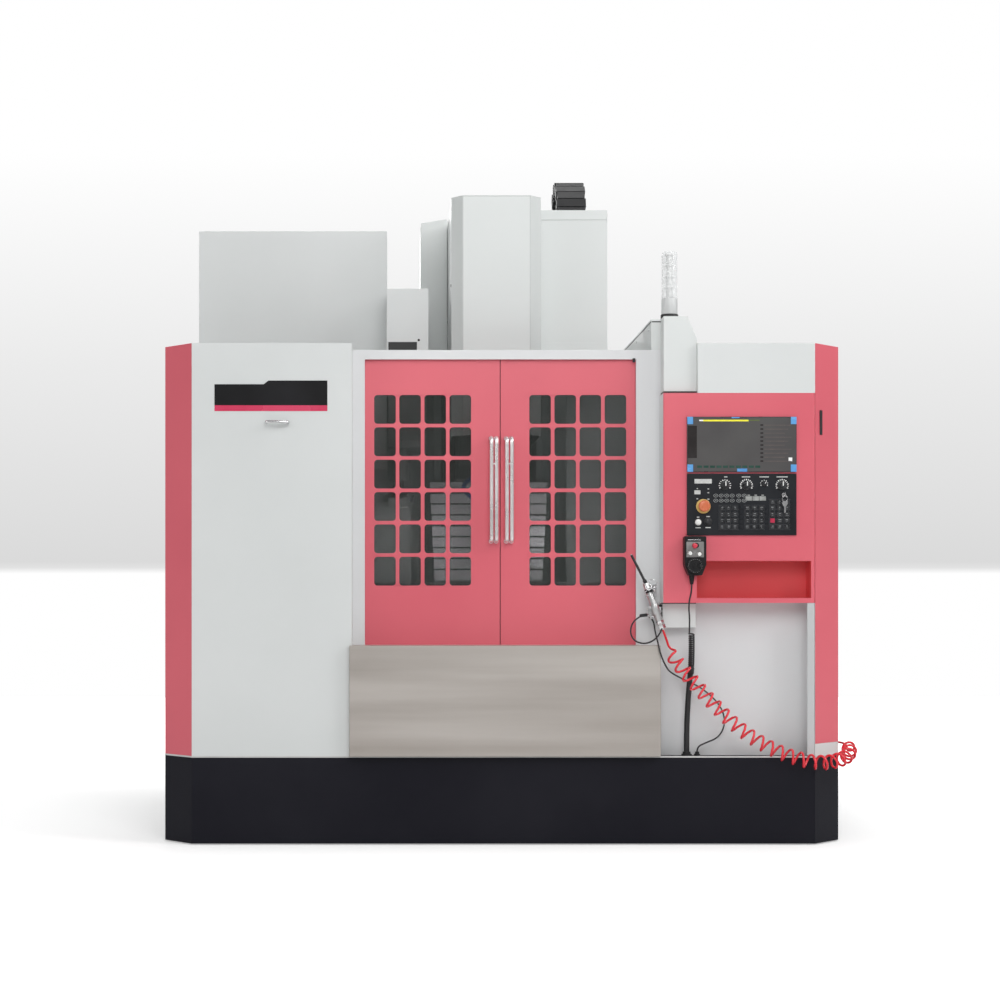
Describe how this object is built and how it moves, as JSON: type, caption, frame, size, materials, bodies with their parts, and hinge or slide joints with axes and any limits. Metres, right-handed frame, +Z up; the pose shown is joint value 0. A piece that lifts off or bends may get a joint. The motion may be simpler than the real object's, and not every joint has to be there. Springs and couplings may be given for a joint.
{
  "type": "cnc machining center",
  "caption": "Vertical machining centre: enclosed cabin with sliding windowed doors, T-slot table, moving head with spindle, tool changer, control box, pendant, air gun and rear cabinet.",
  "frame": {"origin": "on the floor, at the middle of the footprint of the machine without its loose hose", "axes": "+Z up; the operator stands on the -Y side and looks along +Y; +X is the operator's right; the spindle is at X 0"},
  "size_m": [2.6811, 2.3069, 2.736],
  "materials": {
    "base_paint": "satin dark paint",
    "grey_paint": "light grey satin paint",
    "pink_paint": "pink satin paint",
    "liner_paint": "grey paint",
    "stainless": "brushed",
    "smoked_glass": "smoked",
    "polished_steel": "polished",
    "cast_paint": "painted casting",
    "table_iron": "ground",
    "ground_steel": "ground",
    "motor_paint": "black paint",
    "changer_steel": "grey paint",
    "pot_plastic": "matte",
    "black_plastic": "matte",
    "display_plastic": "matte",
    "stop_red": "gloss",
    "button_white": "gloss",
    "button_black": "gloss",
    "tower_plastic": "gloss",
    "cord_rubber": "matte",
    "red_hose": "satin",
    "gun_metal": "satin"
  },
  "bodies": {
    "machine": {"base_skirt": "base_paint", "coolant_pump": "motor_paint", "levelling_feet": "ground_steel", "bed_casting": "cast_paint", "column": "cast_paint", "way_rails": "ground_steel", "door_frame": "grey_paint", "front_panels": "grey_paint", "corner_covers": "pink_paint", "side_and_rear_panels": "grey_paint", "front_apron": "stainless", "cabin_walls": "liner_paint", "control_box": "pink_paint", "display_unit": "display_plastic", "keypad_panel": "black_plastic", "cable_duct": "grey_paint", "signal_tower": "tower_plastic", "magazine_cover": "grey_paint", "changer_gearbox": "changer_steel", "electrical_cabinet": "grey_paint", "column_cover": "grey_paint", "axis_motors": "motor_paint", "drag_chain": "black_plastic", "z_cover": "stainless", "y_covers": "stainless", "pendant_body": "black_plastic", "air_gun": "gun_metal", "pendant_cord": "cord_rubber", "pendant_curl": "cord_rubber", "air_hose_coil": "red_hose", "wash_hose": "cord_rubber", "pull_hook_and_fittings": "polished_steel"},
    "left_door": {"left_door": "pink_paint", "left_window": "smoked_glass", "left_handle": "polished_steel"},
    "right_door": {"right_door": "pink_paint", "right_window": "smoked_glass", "right_handle": "polished_steel"},
    "saddle": {"saddle": "cast_paint"},
    "table": {"work_table": "table_iron"},
    "head": {"head_casting": "cast_paint", "head_cover": "grey_paint", "head_side_box": "grey_paint", "spindle_motor": "motor_paint"},
    "spindle": {"spindle": "ground_steel"},
    "magazine_disc": {"magazine_disc": "changer_steel"},
    "changer_arm": {"changer_arm": "ground_steel"},
    "cabinet_door": {"cabinet_door": "grey_paint"},
    "e_stop": {"e_stop": "stop_red"},
    "start_button": {"start_button": "button_white"},
    "hold_button": {"hold_button": "button_black"},
    "mode_knob": {"mode_knob": "black_plastic"},
    "rapid_knob": {"rapid_knob": "black_plastic"},
    "feed_knob": {"feed_knob": "black_plastic"},
    "key_switch": {"key_switch": "ground_steel"},
    "pendant_dial": {"pendant_dial": "black_plastic"},
    "gun_trigger": {"gun_trigger": "gun_metal"},
    "x_screw": {"x_screw": "ground_steel"},
    "y_screw": {"y_screw": "ground_steel"},
    "z_screw": {"z_screw": "ground_steel"}
  },
  "joints": [
    {"name": "left_door_slide", "type": "slide", "parent": "machine", "child": "left_door", "axis": [-1, 0, 0], "range_m": [0, 0.46]},
    {"name": "right_door_slide", "type": "slide", "parent": "machine", "child": "right_door", "axis": [1, 0, 0], "range_m": [0, 0.46]},
    {"name": "y_slide", "type": "slide", "parent": "machine", "child": "saddle", "axis": [0, 1, 0], "range_m": [-0.25, 0.25], "deforming": ["y_covers"]},
    {"name": "x_slide", "type": "slide", "parent": "saddle", "child": "table", "axis": [1, 0, 0], "range_m": [-0.4, 0.4]},
    {"name": "z_slide", "type": "slide", "parent": "machine", "child": "head", "axis": [0, 0, 1], "range_m": [-0.27, 0.25], "deforming": ["z_cover", "drag_chain"]},
    {"name": "spindle_turn", "type": "hinge", "parent": "head", "child": "spindle", "pos_m": [0, -0.405, 1.39], "axis": [0, 0, 1], "continuous": true},
    {"name": "disc_turn", "type": "hinge", "parent": "machine", "child": "magazine_disc", "pos_m": [-0.8, -0.135, 1.85], "axis": [0, 1, 0], "continuous": true},
    {"name": "arm_turn", "type": "hinge", "parent": "machine", "child": "changer_arm", "pos_m": [-0.4, -0.405, 1.35], "axis": [0, 0, 1], "range_deg": [0, 180]},
    {"name": "cabinet_hinge", "type": "hinge", "parent": "machine", "child": "cabinet_door", "pos_m": [1.158, 1.14, 1.2], "axis": [0, 0, -1], "range_deg": [0, 110]},
    {"name": "e_stop_push", "type": "slide", "parent": "machine", "child": "e_stop", "axis": [0, 1, 0], "range_m": [0, 0.004]},
    {"name": "start_push", "type": "slide", "parent": "machine", "child": "start_button", "axis": [0, 1, 0], "range_m": [0, 0.002], "stiffness_N_per_m": 800},
    {"name": "hold_push", "type": "slide", "parent": "machine", "child": "hold_button", "axis": [0, 1, 0], "range_m": [0, 0.002], "stiffness_N_per_m": 800},
    {"name": "mode_turn", "type": "hinge", "parent": "machine", "child": "mode_knob", "pos_m": [0.841, -1.087, 1.366], "axis": [0, 1, 0], "range_deg": [-75, 75]},
    {"name": "rapid_turn", "type": "hinge", "parent": "machine", "child": "rapid_knob", "pos_m": [0.9226, -1.087, 1.366], "axis": [0, 1, 0], "range_deg": [-75, 75]},
    {"name": "feed_turn", "type": "hinge", "parent": "machine", "child": "feed_knob", "pos_m": [1.0583, -1.087, 1.366], "axis": [0, 1, 0], "range_deg": [-75, 75]},
    {"name": "key_turn", "type": "hinge", "parent": "machine", "child": "key_switch", "pos_m": [1.064, -1.089, 1.33], "axis": [0, 1, 0], "range_deg": [0, 90]},
    {"name": "dial_turn", "type": "hinge", "parent": "machine", "child": "pendant_dial", "pos_m": [0.72, -1.125, 1.06], "axis": [0, 1, 0], "continuous": true},
    {"name": "trigger_squeeze", "type": "hinge", "parent": "machine", "child": "gun_trigger", "pos_m": [0.55556, -1.045, 0.89712], "axis": [0, -1, 0], "range_deg": [0, 9], "stiffness_Nm_per_rad": 0.5},
    {"name": "x_screw_turn", "type": "hinge", "parent": "saddle", "child": "x_screw", "pos_m": [0, -0.405, 0.86], "axis": [1, 0, 0], "continuous": true},
    {"name": "y_screw_turn", "type": "hinge", "parent": "machine", "child": "y_screw", "pos_m": [0, -0.385, 0.575], "axis": [0, 1, 0], "continuous": true},
    {"name": "z_screw_turn", "type": "hinge", "parent": "machine", "child": "z_screw", "pos_m": [0, 0.145, 1.7], "axis": [0, 0, 1], "continuous": true}
  ],
  "couplings": [
    {"joint": "x_screw_turn", "follows": "x_slide", "rad_per_m": 523.6},
    {"joint": "y_screw_turn", "follows": "y_slide", "rad_per_m": 523.6},
    {"joint": "z_screw_turn", "follows": "z_slide", "rad_per_m": 523.6}
  ]
}
